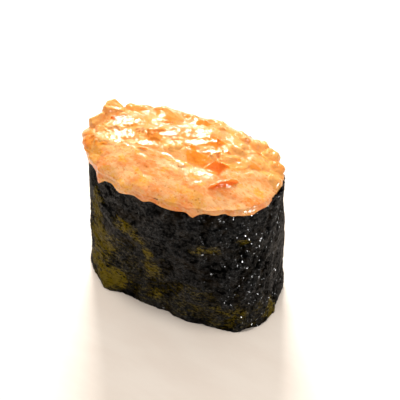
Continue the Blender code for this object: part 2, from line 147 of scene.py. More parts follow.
def crinkle(angle, point):
    """The sheet's folds and small wrinkles, from where it bunched up as it dried again."""
    left = ease(0.5 - 0.9 * math.cos(angle + math.radians(20)))
    fold = blend(folds(angle, point, FOLD_TWIST_RIGHT), folds(angle, point, FOLD_TWIST_LEFT), left)
    bent = point + 0.5 * MM * noise.noise_vector(point / (2.0 * MM))
    wrinkle = noise.noise(bent / WRINKLE_LENGTH + Vector((9.0, 2.0, 4.0)))
    patch = 1.0 + 0.5 * noise.noise(point / (9.0 * MM) + Vector((1.0, 5.0, 7.0)))
    return (FOLD_DEPTH * (fold - 0.25) * 0.5 + WRINKLE_DEPTH * (0.4 - 1.8 * abs(wrinkle))) * patch


def hem_flare(angle, height):
    """How far the hem stands out from the band's outline at the +X end."""
    aside = math.remainder(angle - FLARE_MIDDLE, math.tau) / FLARE_ANGLE
    return FLARE_DEPTH * ease(1.0 - abs(aside)) * ease(1.0 - height / FLARE_HEIGHT)


def corner_flare(angle, height):
    """How far the hem stands out from the band's outline on the near side."""
    turned = math.degrees(math.remainder(angle, math.tau))
    depth = 0.0
    for (start, low), (end, high) in zip(CORNER_FLARE, CORNER_FLARE[1:]):
        if start <= turned < end:
            depth = blend(low, high, (turned - start) / (end - start))
    return depth * ease(1.0 - height / CORNER_FLARE_HEIGHT)


def tuck(turned):
    """How far the strip's first stretch sits inside the outer face, to leave room for the lap."""
    return (NORI_THICK + LAYER_GAP) * (1.0 - ease((turned - LAP_ANGLE) / LAP_EASE))


def edge_wave(turned, phase):
    """A slow wave, -1 to 1, along an edge of the strip."""
    along = turned * FOOT_HALF_LENGTH / EDGE_WAVE_LENGTH
    return noise.noise(Vector((along, phase, 0.3))) + 0.4 * noise.noise(Vector((2.7 * along, phase, 4.1)))


def nick(turned, phase):
    """The small irregularities of the strip's cut edge."""
    along = turned * FOOT_HALF_LENGTH / EDGE_NICK_LENGTH
    return EDGE_NICK * noise.noise(Vector((along, phase, 2.2)))


# Thin places of the sheet, where light comes through and it looks olive: how far round the block,
# in degrees, the height, how wide and how tall, and how strong.
THIN_PLACES = (
    (-129, 22.0 * MM, 2.0 * MM, 4.0 * MM, 0.8),
    (-127, 13.0 * MM, 3.6 * MM, 5.5 * MM, 1.0),
    (-121, 4.5 * MM, 5.0 * MM, 3.2 * MM, 1.0),
    (-104, 22.5 * MM, 3.2 * MM, 2.0 * MM, 0.65),
    (-95, 20.5 * MM, 2.4 * MM, 1.8 * MM, 0.55),
    (-91, 17.0 * MM, 1.2 * MM, 1.6 * MM, 0.75),
    (-90, 12.5 * MM, 2.0 * MM, 2.6 * MM, 0.6),
    (-86, 5.0 * MM, 2.2 * MM, 3.4 * MM, 0.50),
    (-57, 23.5 * MM, 2.4 * MM, 1.4 * MM, 0.42),
    (-34, 27.0 * MM, 1.5 * MM, 1.4 * MM, 0.35),
    (-46, 6.0 * MM, 4.6 * MM, 3.6 * MM, 0.36),
    (-9, 2.0 * MM, 3.2 * MM, 2.6 * MM, 0.9),
    (-76, 6.0 * MM, 14.0 * MM, 7.0 * MM, 0.24),
    (-104, 12.0 * MM, 9.0 * MM, 9.0 * MM, 0.20),
    (-42, 4.0 * MM, 9.0 * MM, 5.0 * MM, 0.26),
    (158, 9.0 * MM, 4.0 * MM, 6.0 * MM, 0.6),
    (140, 3.0 * MM, 6.0 * MM, 3.0 * MM, 0.45),
    (95, 5.0 * MM, 8.0 * MM, 3.0 * MM, 0.40),
    (40, 24.0 * MM, 5.0 * MM, 4.0 * MM, 0.4),
)

THIN_EDGE_TEAR, THIN_EDGE_LENGTH = 0.8, 4.0 * MM


def thinness(angle, height):
    """How thin the sheet is at a place, 0 to 1."""
    spot = Vector((MEAN_RADIUS * math.cos(angle), MEAN_RADIUS * math.sin(angle), height)) / THIN_EDGE_LENGTH
    torn = noise.noise_vector(spot) + 0.5 * noise.noise_vector(2.3 * spot)
    most = 0.0
    for degrees, level, wide, tall, strength in THIN_PLACES:
        aside = math.remainder(angle - math.radians(degrees), math.tau) * MEAN_RADIUS / wide
        above = (height - level) / tall
        aside += THIN_EDGE_TEAR * torn.x
        above += THIN_EDGE_TEAR * torn.y
        most = max(most, strength * math.exp(-(aside**2) - above**2))
    return most


def dust_and_sheen_share(angle, height):
    """How grey the sheet is painted at a place, 0 to 1, partly for its own grey fibres and partly as a
    painted sheen: least on the damp middle of the near side.
    """
    damp = ease(0.5 + 0.9 * math.cos(angle - math.radians(-50)))
    low = ease(1.0 - height / (18.0 * MM))
    return blend(1.0, 0.25 + 0.35 * low, damp)


# Without a seed, the noise vectors differ in every run.
noise.seed_set(NOISE_SEED)
bpy.ops.object.select_all(action="DESELECT")
bpy.ops.mesh.primitive_grid_add(x_subdivisions=STRIP_COLUMNS, y_subdivisions=STRIP_ROWS, size=1.0)
nori = bpy.context.object
nori.name = "nori_strip"
thin = nori.data.attributes.new("thin", "FLOAT", "POINT")
ridge = nori.data.attributes.new("ridge", "FLOAT", "POINT")
# How grey the sheet is painted: its own grey fibres and a painted sheen.
dust_and_sheen = nori.data.attributes.new("dust_and_sheen", "FLOAT", "POINT")
for vert in nori.data.vertices:
    along, up = vert.co.x + 0.5, vert.co.y + 0.5
    turned = along * (math.tau + LAP_ANGLE)
    angle = STRIP_START + turned
    rim = STRIP_WIDTH + RIM_WAVE * edge_wave(turned, 1.7) + nick(turned, 3.1)
    hem = max(0.0, HEM_LIFT * edge_wave(turned, 8.2) + nick(turned, 6.4))
    height = blend(hem, rim, up)
    place = band_outline(angle, height)
    flare = hem_flare(angle, height) + corner_flare(angle, height)
    fold = crinkle(angle, place)
    vert.co = place + outward(angle, height) * (flare + creases(place) + fold - tuck(turned))
    thin.data[vert.index].value = thinness(angle, height)
    ridge.data[vert.index].value = fold / (0.5 * FOLD_DEPTH)
    dust_and_sheen.data[vert.index].value = dust_and_sheen_share(angle, height)
bpy.ops.object.mode_set(mode="EDIT")
bpy.ops.mesh.select_all(action="SELECT")
bpy.ops.mesh.normals_make_consistent(inside=False)
bpy.ops.object.mode_set(mode="OBJECT")
middle_face = nori.data.polygons[len(nori.data.polygons) // 2]
if middle_face.normal.dot(middle_face.center.xy.to_3d()) < 0.0:
    nori.data.flip_normals()
wall = nori.modifiers.new("Sheet thickness", "SOLIDIFY")
wall.thickness = NORI_THICK
wall.offset = -1.0
bpy.ops.object.modifier_apply(modifier=wall.name)
for vert in nori.data.vertices:
    vert.co.z = max(0.0, vert.co.z)
bpy.ops.object.shade_smooth()


def new_material(name):
    """A material with a Principled shader, and that shader."""
    material = bpy.data.materials.new(name)
    material.use_nodes = True
    return material, material.node_tree.nodes["Principled BSDF"]


class Nodes:
    """Adds and joins shader nodes of one material in a short form."""

    def __init__(self, material):
        self.tree = material.node_tree

    def add(self, kind, inputs=None, **settings):
        """A new node; its inputs are joined to sockets or set to values."""
        node = self.tree.nodes.new(kind)
        for key, value in settings.items():
            setattr(node, key, value)
        for key, value in (inputs or {}).items():
            if isinstance(value, bpy.types.NodeSocket):
                self.tree.links.new(value, node.inputs[key])
            else:
                node.inputs[key].default_value = value
        return node

    def join(self, source, target):
        """Joins an output to an input."""
        self.tree.links.new(source, target)

    def mapped(self, socket, scale, location=(0.0, 0.0, 0.0)):
        """Coordinates stretched by a scale and moved."""
        inputs = {"Vector": socket, "Scale": scale, "Location": location}
        return self.add("ShaderNodeMapping", inputs).outputs[0]

    def noise(self, socket, scale, detail=3.0, roughness=0.55):
        """Cloudy noise, about 0.3 to 0.7."""
        inputs = {"Vector": socket, "Scale": scale, "Detail": detail, "Roughness": roughness}
        return self.add("ShaderNodeTexNoise", inputs).outputs["Fac"]

    def cells(self, socket, scale):
        """How far a place is from the nearest of many scattered points."""
        return self.add("ShaderNodeTexVoronoi", {"Vector": socket, "Scale": scale}).outputs["Distance"]

    def span(self, value, low, high, to_low=0.0, to_high=1.0):
        """A smooth step from one value to another as the input goes from low to high."""
        inputs = {"Value": value, "From Min": low, "From Max": high, "To Min": to_low, "To Max": to_high}
        return self.add("ShaderNodeMapRange", inputs, interpolation_type="SMOOTHSTEP").outputs[0]

    def math(self, kind, first, second):
        """Arithmetic on two values."""
        return self.add("ShaderNodeMath", {0: first, 1: second}, operation=kind).outputs[0]

    def mix(self, share, first, second):
        """A blend of two colours."""
        node = self.add("ShaderNodeMix", data_type="RGBA")
        for key, value in ((0, share), (6, first), (7, second)):
            if isinstance(value, bpy.types.NodeSocket):
                self.join(value, node.inputs[key])
            else:
                node.inputs[key].default_value = value
        return node.outputs[2]

    def attribute(self, name):
        """A value stored on the mesh."""
        return self.add("ShaderNodeAttribute", attribute_name=name).outputs["Fac"]

    def vectors(self, kind, first, second, output="Vector"):
        """Arithmetic on two vectors."""
        return self.add("ShaderNodeVectorMath", {0: first, 1: second}, operation=kind).outputs[output]


NORI_BLACK = (0.0012, 0.0011, 0.0010, 1.0)
NORI_GREY = (0.0135, 0.012, 0.010, 1.0)
NORI_OLIVE = (0.180, 0.128, 0.005, 1.0)
NORI_BROWN = (0.016, 0.010, 0.004, 1.0)

nori_material, shader = new_material("toasted_nori")
nodes = Nodes(nori_material)
# The strip's own map, in millimetres along it and up it.
strip_map = nodes.add("ShaderNodeTexCoord").outputs["UV"]
sheet = nodes.mapped(strip_map, (STRIP_LENGTH / MM, STRIP_WIDTH / MM, 1.0))
grain = nodes.noise(sheet, 1.8, 5.0, 0.8)
fibres = nodes.noise(nodes.mapped(sheet, (0.7, 1.6, 1.0), (3.0, 8.0, 0.0)), 0.9, 5.0, 0.7)
blotches = nodes.noise(sheet, 0.24, 4.0, 0.6)
raised = nodes.attribute("ridge")
dust_and_sheen = nodes.attribute("dust_and_sheen")
# Grey over black: the sheet's own grey fibres, plus painted light on the ridges of the folds, painted shade
# in their valleys and a painted sheen.
grey_fibres_and_painted_light = nodes.math("MULTIPLY", nodes.span(grain, 0.49, 0.60), nodes.span(raised, -1.0, 0.7, 0.25, 1.1))
grey_fibres_and_painted_light = nodes.math("MULTIPLY", grey_fibres_and_painted_light, nodes.math("MULTIPLY", dust_and_sheen, nodes.span(fibres, 0.38, 0.62, 0.15, 1.7)))
colour = nodes.mix(nodes.span(blotches, 0.48, 0.68, 0.0, 0.8), NORI_BLACK, NORI_BROWN)
colour = nodes.mix(grey_fibres_and_painted_light, colour, NORI_GREY)
see_through = nodes.math("MULTIPLY", nodes.attribute("thin"), nodes.span(fibres, 0.34, 0.60, 0.25, 1.6))
see_through = nodes.math("MULTIPLY", see_through, nodes.span(grain, 0.36, 0.58, 0.25, 1.3))
colour = nodes.mix(nodes.span(see_through, 0.10, 0.75, 0.0, 0.97), colour, NORI_OLIVE)
nodes.join(colour, shader.inputs["Base Color"])
shine = nodes.span(raised, -0.9, 0.7, 0.0, 0.10)
shine = nodes.math("MULTIPLY", shine, nodes.span(grain, 0.48, 0.60, 0.10, 1.7))
shine = nodes.math("MULTIPLY", shine, nodes.span(nodes.attribute("thin"), 0.1, 0.8, 1.0, 0.25))
nodes.join(shine, shader.inputs["Specular IOR Level"])

# Wet spots: small flat facets, each with its own slope, that glint where they face a lamp.
facets = nodes.add("ShaderNodeTexVoronoi", {"Vector": sheet, "Scale": 3.3, "Randomness": 1.0})
offset = nodes.vectors("SUBTRACT", sheet, facets.outputs["Position"])
slope = nodes.vectors("SUBTRACT", facets.outputs["Color"], (0.5, 0.5, 0.5))
tilted = nodes.vectors("DOT_PRODUCT", offset, slope, "Value")
facet_coat = nodes.add("ShaderNodeBump", {"Strength": 1.0, "Distance": 1.2 * MM, "Height": tilted})
nodes.join(facet_coat.outputs[0], shader.inputs["Coat Normal"])
wet = nodes.span(nodes.noise(nodes.mapped(sheet, (1.0, 1.0, 1.0), (5.0, 1.0, 0.0)), 0.8, 2.0), 0.44, 0.52)
wet = nodes.math("MULTIPLY", wet, nodes.span(dust_and_sheen, 0.4, 0.9, 0.22, 0.03))
nodes.join(wet, shader.inputs["Coat Weight"])
shader.inputs["Coat Roughness"].default_value = 0.14
shader.inputs["Coat IOR"].default_value = 1.5
nodes.join(nodes.span(grain, 0.3, 0.7, 0.36, 0.60), shader.inputs["Roughness"])

# The finest crinkles and the grain.
ridged = nodes.add(
    "ShaderNodeTexNoise",
    {"Vector": sheet, "Scale": 0.85, "Detail": 4.0, "Roughness": 0.6},
    noise_type="RIDGED_MULTIFRACTAL",
    normalize=True,
).outputs["Fac"]
height = nodes.math("ADD", nodes.math("MULTIPLY", ridged, 0.35), nodes.math("MULTIPLY", grain, 0.65))
bump = nodes.add("ShaderNodeBump", {"Strength": 1.0, "Distance": 1.8 * MM, "Height": height})
nodes.join(bump.outputs[0], shader.inputs["Normal"])
nori.data.materials.append(nori_material)
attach(nori, "root")
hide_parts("nori")


# The rice: warm vinegared short-grain rice, pressed by hand into an oval block. It fills the band
# to about two thirds of its height, and its grains show only underneath.
RICE_TOP = 24.0 * MM
RICE_CORE_BOTTOM = 1.1 * MM
RICE_WALL_GAP = 0.75 * MM
GRAIN_HALF = Vector((2.65, 1.28, 1.12)) * MM
GRAIN_SPACING = Vector((3.5, 2.15)) * MM

bpy.ops.object.select_all(action="DESELECT")
bpy.ops.mesh.primitive_cylinder_add(vertices=96, radius=1.0, depth=1.0, end_fill_type="NGON")
rice_core = bpy.context.object
rice_core.name = "rice_core"
for vert in rice_core.data.vertices:
    angle = math.atan2(vert.co.y, vert.co.x)
    height = RICE_TOP if vert.co.z > 0.0 else RICE_CORE_BOTTOM
    place = band_outline(angle, height)
    vert.co = place - outward(angle, height) * (NORI_THICK + LAYER_GAP + NORI_THICK + RICE_WALL_GAP)
rounding = rice_core.modifiers.new("Rounded edges", "BEVEL")
rounding.width = 1.4 * MM
rounding.segments = 3
bpy.ops.object.modifier_apply(modifier=rounding.name)
bpy.ops.object.shade_smooth()

bpy.ops.object.select_all(action="DESELECT")
bpy.ops.mesh.primitive_uv_sphere_add(segments=10, ring_count=8, radius=1.0)
grain_pattern = bpy.context.object
bpy.ops.object.mode_set(mode="EDIT")
bpy.ops.mesh.select_all(action="SELECT")
bpy.ops.transform.rotate(value=math.radians(90), orient_axis="Y", center_override=(0, 0, 0))
bpy.ops.transform.resize(value=GRAIN_HALF, center_override=(0, 0, 0))
bpy.ops.object.mode_set(mode="OBJECT")

grains = bmesh.new()
draw = random.Random(11)
rows = int(FOOT_HALF_WIDTH / GRAIN_SPACING.y)
columns = int(FOOT_HALF_LENGTH / GRAIN_SPACING.x) + 1
for row in range(-rows, rows + 1):
    for column in range(-columns, columns + 1):
        x = (column + 0.5 * (row % 2) + draw.uniform(-0.2, 0.2)) * GRAIN_SPACING.x
        y = (row + draw.uniform(-0.25, 0.25)) * GRAIN_SPACING.y
        turn = Euler((draw.uniform(0.0, math.tau), draw.gauss(0.0, 0.16), draw.gauss(0.0, 1.1)))
        lift = draw.uniform(0.0, 0.75) * MM
        size = draw.uniform(0.88, 1.06)
        reach = GRAIN_HALF.x * size
        room_x = FOOT_HALF_LENGTH - 0.9 * MM - reach * abs(math.cos(turn.z)) - 0.5 * GRAIN_HALF.y
        room_y = FOOT_HALF_WIDTH - 0.9 * MM - reach * abs(math.sin(turn.z)) - 0.5 * GRAIN_HALF.y
        if abs(x / room_x) ** FOOT_SQUARENESS + abs(y / room_y) ** FOOT_SQUARENESS > 1.0:
            continue
        dip = abs(math.sin(turn.y)) * reach
        place = Matrix.LocRotScale(Vector((x, y, GRAIN_HALF.y + dip + lift)), turn, Vector((size,) * 3))
        one = grain_pattern.data.copy()
        one.transform(place)
        grains.from_mesh(one)
        bpy.data.meshes.remove(one)
grain_mesh = bpy.data.meshes.new("rice_grains")
grains.to_mesh(grain_mesh)
grains.free()
grain_mesh.shade_smooth()
rice_grains = bpy.data.objects.new("rice_grains", grain_mesh)
bpy.context.scene.collection.objects.link(rice_grains)
bpy.data.objects.remove(grain_pattern)

rice_material, shader = new_material("vinegared_rice")
nodes = Nodes(rice_material)
place = nodes.add("ShaderNodeTexCoord").outputs["Object"]
tint = nodes.noise(place, 420.0, 3.0)
colour = nodes.mix(nodes.span(tint, 0.35, 0.7), (0.80, 0.78, 0.70, 1.0), (0.90, 0.89, 0.84, 1.0))
nodes.join(colour, shader.inputs["Base Color"])
nodes.join(nodes.span(tint, 0.3, 0.7, 0.28, 0.45), shader.inputs["Roughness"])
grit = nodes.noise(place, 1400.0)
bump = nodes.add("ShaderNodeBump", {"Strength": 0.4, "Distance": 0.08 * MM, "Height": grit})
nodes.join(bump.outputs[0], shader.inputs["Normal"])
shader.inputs["Subsurface Weight"].default_value = 0.3
shader.inputs["Subsurface Radius"].default_value = (1.0, 0.85, 0.7)
shader.inputs["Subsurface Scale"].default_value = 1.2 * MM
for piece in (rice_core, rice_grains):
    piece.data.materials.append(rice_material)
    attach(piece, "root")
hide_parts("rice")
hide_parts("rice")


# The topping: cooked mussel chopped by hand, bound with a creamy orange sauce and heaped on the
# rice with a spoon. It sags over the rim on the near side. The pieces are half sunk in the sauce,
# so the heap and its pieces are fused into one wet skin.
OVERHANG, OVERHANG_LEAN, OVERHANG_WAVE = 0.05 * MM, 0.30 * MM, 0.20 * MM
LIP_DEPTH, LIP_MIDDLE, LIP_ANGLE = 0.90 * MM, math.radians(-89), math.radians(92)
DROOP, RAGGED = 1.3, 0.55 * MM
EDGE_RISE, EDGE_RISE_LEAN = 0.45 * MM, 0.35 * MM
CROWN_RISE, CROWN_LEAN, CROWN_POWER, CROWN_ROUNDNESS = 4.3 * MM, 0.90 * MM, 2.1, 0.62
LUMP_HEIGHT, LUMP_LENGTH = 0.75 * MM, 7.5 * MM
DIP_DEPTH, DIP_WIDTH = 1.9 * MM, 5.5 * MM
DIP_PLACE = Vector((-4.0, 9.5, 0.0)) * MM
CUP_INSET, CUP_DEPTH = 1.5 * MM, 2.2 * MM
RICE_CLEARANCE = 0.3 * MM
# Shares of the way from the middle of the underside up to the top: the part inside the band, its
# flat part, and the part of the rest that is the lip.
INNER_SHARE, FLAT_SHARE, SKIRT_SHARE = 0.26, 0.55, 0.14
VOXEL = 0.17 * MM
BARE_FROM = 32.6 * MM
PIECE_SEED = 17
SMOOTH_SIDE = math.radians(-74)
SMOOTH_FROM, SMOOTH_RAMP = 2.6 * MM, 5.5 * MM


def select_only(piece):
    """Makes a piece the only selected one, and the active one."""
    bpy.ops.object.select_all(action="DESELECT")
    piece.select_set(True)
    bpy.context.view_layer.objects.active = piece


def wall_point(angle, height, offset):
    """A point at an offset from the band's outer face, before its crinkles."""
    place = band_outline(angle, height)
    return place + outward(angle, height) * (offset + creases(place))


# Where the sauce has run a little way down the nori: degrees round, how far and how wide.
DRIPS = (
    (-121, 1.3 * MM, 0.9 * MM),
    (-104, 0.5 * MM, 1.4 * MM),
    (-62, 0.6 * MM, 0.7 * MM),
    (-20, 0.9 * MM, 6.0 * MM),
)


def drip(angle):
    """How far a drip reaches below the mound's edge."""
    deepest = 0.0
    for degrees, depth, width in DRIPS:
        aside = math.remainder(angle - math.radians(degrees), math.tau) * MEAN_RADIUS / width
        deepest = max(deepest, depth * math.exp(-(aside**2)))
    return deepest


def overhang(angle):
    """How far the mound's widest line stands out from the nori's outer face."""
    wave = noise.noise(Vector((3.0 * math.cos(angle), 3.0 * math.sin(angle), 2.5)))
    aside = math.remainder(angle - LIP_MIDDLE, math.tau) / LIP_ANGLE
    lip = LIP_DEPTH * ease(1.6 * (1.0 - abs(aside)))
    return OVERHANG - OVERHANG_LEAN * math.cos(angle) + OVERHANG_WAVE * wave + lip + 0.4 * drip(angle)


def ragged(angle, seed):
    """The small irregularities of the mound's edge, most where it sags over the rim."""
    place = Vector((12.0 * math.cos(angle), 12.0 * math.sin(angle), seed))
    return RAGGED * ease(overhang(angle) / (0.8 * MM)) * noise.noise(place)


def mound_top(angle, reach):
    """A point of the mound over the rim: reach is 1 at its widest line and 0 in the middle."""
    edge = wall_point(angle, STRIP_WIDTH, overhang(angle) + ragged(angle, 5.5))
    place = Vector((edge.x * reach, edge.y * reach, 0.0))
    rise = EDGE_RISE - EDGE_RISE_LEAN * math.cos(angle) * reach
    crown = CROWN_RISE - CROWN_LEAN * place.x / RIM_HALF_LENGTH
    crown *= (1.0 - reach**CROWN_POWER) ** CROWN_ROUNDNESS
    lump = LUMP_HEIGHT * noise.noise(place / LUMP_LENGTH + Vector((2.0, 9.0, 1.0)))
    dip = DIP_DEPTH * math.exp(-(((place - DIP_PLACE).length / DIP_WIDTH) ** 2))
    place.z = STRIP_WIDTH + rise + crown + lump * ease(2.5 * (1.0 - reach) + 0.3) - dip
    return place


bpy.ops.object.select_all(action="DESELECT")
bpy.ops.mesh.primitive_uv_sphere_add(segments=256, ring_count=90, radius=1.0)
mound = bpy.context.object
mound.name = "mussel_topping"
for vert in mound.data.vertices:
    angle = math.atan2(vert.co.y, vert.co.x)
    share = 1.0 - math.acos(max(-1.0, min(1.0, vert.co.z))) / math.pi
    if share <= INNER_SHARE:
        # From the middle of the underside out to the wall, then up inside the band.
        step = share / INNER_SHARE
        climb = max(0.0, (step - FLAT_SHARE) / (1.0 - FLAT_SHARE))
        height = blend(RICE_TOP + RICE_CLEARANCE, STRIP_WIDTH - CUP_DEPTH, climb)
        place = wall_point(angle, height, -CUP_INSET)
        spread = min(1.0, step / FLAT_SHARE)
        vert.co = Vector((place.x * spread, place.y * spread, height))
        continue
    step = (share - INNER_SHARE) / (1.0 - INNER_SHARE)
    if step < SKIRT_SHARE:
        # The lip: it starts lower where the mound stands further out.
        drop = DROOP * max(0.0, overhang(angle)) + 1.6 * ragged(angle, 1.5) + drip(angle)
        low = wall_point(angle, STRIP_WIDTH - max(0.0, drop), 0.75 * overhang(angle))
        vert.co = low.lerp(mound_top(angle, 1.0), ease(step / SKIRT_SHARE))
        continue
    fall = (step - SKIRT_SHARE) / (1.0 - SKIRT_SHARE)
    vert.co = mound_top(angle, math.cos(fall * math.pi / 2.0) ** 0.7)


def chopped_piece(name, proportions, cuts, seed):
    """A pattern for one kind of chopped piece, a unit long: a lump, dented and cut off flat by knife."""
    chop = random.Random(seed)
    bpy.ops.object.select_all(action="DESELECT")
    bpy.ops.mesh.primitive_ico_sphere_add(subdivisions=4, radius=0.5)
    pattern = bpy.context.object
    pattern.name = name
    bpy.ops.object.mode_set(mode="EDIT")
    bpy.ops.mesh.select_all(action="SELECT")
    for _ in range(cuts):
        side = Vector((chop.uniform(-1, 1), chop.uniform(-1, 1), chop.uniform(-0.4, 1))).normalized()
        bpy.ops.mesh.select_all(action="SELECT")
        bpy.ops.mesh.bisect(
            plane_co=side * chop.uniform(0.24, 0.40), plane_no=side, use_fill=True, clear_outer=True
        )
    bpy.ops.mesh.select_all(action="SELECT")
    bpy.ops.transform.resize(value=proportions, center_override=(0, 0, 0))
    bpy.ops.object.mode_set(mode="OBJECT")
    for vert in pattern.data.vertices:
        vert.co += 0.09 * noise.noise_vector(vert.co * 3.1 + Vector((seed, 0.0, 0.0)))
    mesh = pattern.data
    bpy.data.objects.remove(pattern)
    return mesh


PATTERNS = {
    "chunk": [
        chopped_piece("chunk", (1.0, 0.75, 0.60), 6, 3),
        chopped_piece("dice", (1.0, 0.70, 0.66), 7, 8),
        chopped_piece("wedge", (1.0, 0.80, 0.55), 5, 21),
    ],
    "flake": [
        chopped_piece("flake", (1.0, 0.62, 0.30), 6, 5),
        chopped_piece("leaf", (1.0, 0.50, 0.26), 5, 14),
        chopped_piece("slice", (1.0, 0.70, 0.24), 6, 27),
    ],
    "lump": [
        chopped_piece("lump", (1.0, 0.90, 0.80), 1, 9),
        chopped_piece("knob", (1.0, 0.75, 0.75), 2, 33),
    ],
    "sliver": [chopped_piece("sliver", (1.0, 0.30, 0.24), 4, 30)],
    "block": [chopped_piece("block", (1.0, 0.85, 0.95), 5, 12)],
}

# The larger pieces, each where it lies in the photo: shares of the mound's half length and half
# width, length, how far it stands out, its turn and lean in degrees, its kind and how orange it is.
LARGE_PIECES = (
    (-0.86, 0.16, 5.6, 1.00, -58, 26, "block", 0.40),
    (-0.92, -0.10, 5.6, 0.90, 80, 8, "lump", 0.05),
    (-0.68, 0.42, 7.0, 0.60, 165, 4, "chunk", 0.50),
    (-0.40, 0.60, 7.6, 0.60, 10, -4, "flake", 0.50),
    (-0.03, 0.64, 5.8, 0.70, 25, 8, "chunk", 0.75),
    (0.19, 0.68, 6.0, 0.50, -20, 6, "lump", 0.40),
    (0.42, 0.66, 5.2, 0.75, 0, 0, "lump", 0.15),
    (0.58, 0.64, 4.8, 0.80, 30, 0, "lump", 0.30),
    (0.73, 0.56, 4.2, 0.85, 0, 0, "lump", 0.20),
    (0.85, 0.38, 3.8, 0.80, 0, 0, "lump", 0.50),
    (0.92, 0.12, 3.4, 0.70, 0, 0, "lump", 0.15),
    (0.27, 0.20, 5.6, 0.60, 15, 12, "chunk", 0.85),
    (0.24, -0.18, 6.4, 0.80, -35, 4, "flake", 0.80),
    (0.46, -0.22, 6.0, 0.65, 20, 10, "chunk", 1.0),
    (0.60, -0.44, 5.8, 0.90, 54, 0, "sliver", 1.0),
    (-0.20, -0.15, 7.0, 0.75, -15, 4, "flake", 0.65),
    (-0.50, 0.06, 7.0, 0.70, 30, -6, "flake", 0.60),
    (0.49, 0.31, 5.2, 0.50, 70, 4, "lump", 0.2),
    (0.47, 0.06, 4.6, 0.50, 40, 4, "lump", 0.3),
    (-0.26, 0.26, 6.2, 0.75, 170, 6, "flake", 0.7),
)


def smoothed(x, y):
    """How far a place lies on the side that was smoothed over: 0 on the crest, 1 at that rim."""
    across = x * math.cos(SMOOTH_SIDE) + y * math.sin(SMOOTH_SIDE)
    return ease((across - SMOOTH_FROM) / SMOOTH_RAMP)


heap_surface = BVHTree.FromObject(mound, bpy.context.evaluated_depsgraph_get())
pieces = bmesh.new()
piece_tones = []
draw = random.Random(PIECE_SEED)


def lay_piece(kind, x, y, length, stand_out, yaw, lean, tone):
    """Lays a piece on the heap, standing out of it by a share of its own half height."""
    spot, normal, _, _ = heap_surface.ray_cast(Vector((x, y, 60 * MM)), Vector((0, 0, -1)))
    if spot is None:
        return
    mesh = draw.choice(PATTERNS[kind]).copy()
    half_height = 0.5 * length * (max(v.co.z for v in mesh.vertices) - min(v.co.z for v in mesh.vertices))
    upright = normal.lerp(Vector((0, 0, 1)), 0.3).normalized()
    laid_down = Euler((0.0, math.radians(lean), math.radians(yaw))).to_quaternion()
    turn = Vector((0, 0, 1)).rotation_difference(upright) @ laid_down
    stretch = Vector((length, length * draw.uniform(0.85, 1.15), length * draw.uniform(0.9, 1.1)))
    mesh.transform(Matrix.LocRotScale(spot + upright * half_height * (stand_out - 1.0), turn, stretch))
    pieces.from_mesh(mesh)
    piece_tones.extend([tone] * len(mesh.polygons))
    bpy.data.meshes.remove(mesh)


for x_share, y_share, length, stand_out, yaw, lean, kind, tone in LARGE_PIECES:
    x, y = x_share * RIM_HALF_LENGTH, y_share * RIM_HALF_WIDTH
    lay_piece(kind, x, y, length * MM, stand_out, yaw, lean, tone)

# The smaller pieces lie close together on the crest and the back, and few on the near side.
SMALL_TRIES, SMALL_LENGTHS = 500, (2.2, 2.8, 3.4, 4.2, 5.0)
laid = [(x * RIM_HALF_LENGTH, y * RIM_HALF_WIDTH, 0.7 * size * MM) for x, y, size, *_ in LARGE_PIECES]
for _ in range(SMALL_TRIES):
    x = draw.uniform(-1.0, 1.0) * RIM_HALF_LENGTH
    y = draw.uniform(-1.0, 1.0) * RIM_HALF_WIDTH
    length = draw.choice(SMALL_LENGTHS) * MM
    kind = draw.choice(("chunk", "flake", "flake", "flake", "lump", "sliver"))
    stand_out = draw.uniform(0.20, 0.50)
    yaw, lean, tone = draw.gauss(0, 35), draw.gauss(0, 10), ease(draw.betavariate(1.4, 1.4)) ** 1.2
    inside = math.hypot(x / (RIM_HALF_LENGTH - 0.5 * length), y / (RIM_HALF_WIDTH - 0.5 * length)) < 1.0
    if not inside or draw.random() < 1.05 * smoothed(x, y) ** 0.5:
        continue
    if any(math.hypot(x - a, y - b) < 0.42 * (length + c) for a, b, c in laid):
        continue
    laid.append((x, y, length))
    lay_piece(kind, x, y, length, stand_out, yaw, lean, tone)

select_only(mound)
bpy.ops.object.mode_set(mode="EDIT")
bpy.ops.mesh.select_all(action="SELECT")
bpy.ops.mesh.normals_make_consistent(inside=False)
bpy.ops.object.mode_set(mode="OBJECT")
piece_surface = BVHTree.FromBMesh(pieces)
heap = bmesh.new()
heap.from_mesh(mound.data)
piece_mesh = bpy.data.meshes.new("pieces")
pieces.to_mesh(piece_mesh)
heap.from_mesh(piece_mesh)
heap.to_mesh(mound.data)
heap.free()
pieces.free()
bpy.data.meshes.remove(piece_mesh)
select_only(mound)
skin = mound.modifiers.new("Skin", "REMESH")
skin.mode = "VOXEL"
skin.voxel_size = VOXEL
bpy.ops.object.modifier_apply(modifier=skin.name)
film = mound.modifiers.new("Sauce film", "SMOOTH")
film.factor = 0.5
film.iterations = 5
bpy.ops.object.modifier_apply(modifier=film.name)

# Inside the nori nothing shows, so the heap has few faces there.
inner = mound.vertex_groups.new(name="inside_the_nori")
inner.add([v.index for v in mound.data.vertices if v.co.z < BARE_FROM], 1.0, "REPLACE")
thinning = mound.modifiers.new("Fewer faces inside", "DECIMATE")
thinning.ratio = 0.55
thinning.vertex_group = inner.name
bpy.ops.object.modifier_apply(modifier=thinning.name)

# Then the whole crest gets its finer build: bits of mussel packed side by side, longer along the
# block, each with its own slope and sauce in the grooves between them.
BITS = (
    (Vector((4.8, 2.5)) * MM, 0.80 * MM, 0.60, 5.0),
    (Vector((2.0, 1.1)) * MM, 0.08 * MM, 0.50, 41.0),
)
SUNK = 0.40 * MM
GRIT_DEPTH, GRIT_LENGTH = 0.050 * MM, 0.7 * MM
BULGE_DEPTH, BULGE_LENGTH = 0.22 * MM, 3.2 * MM

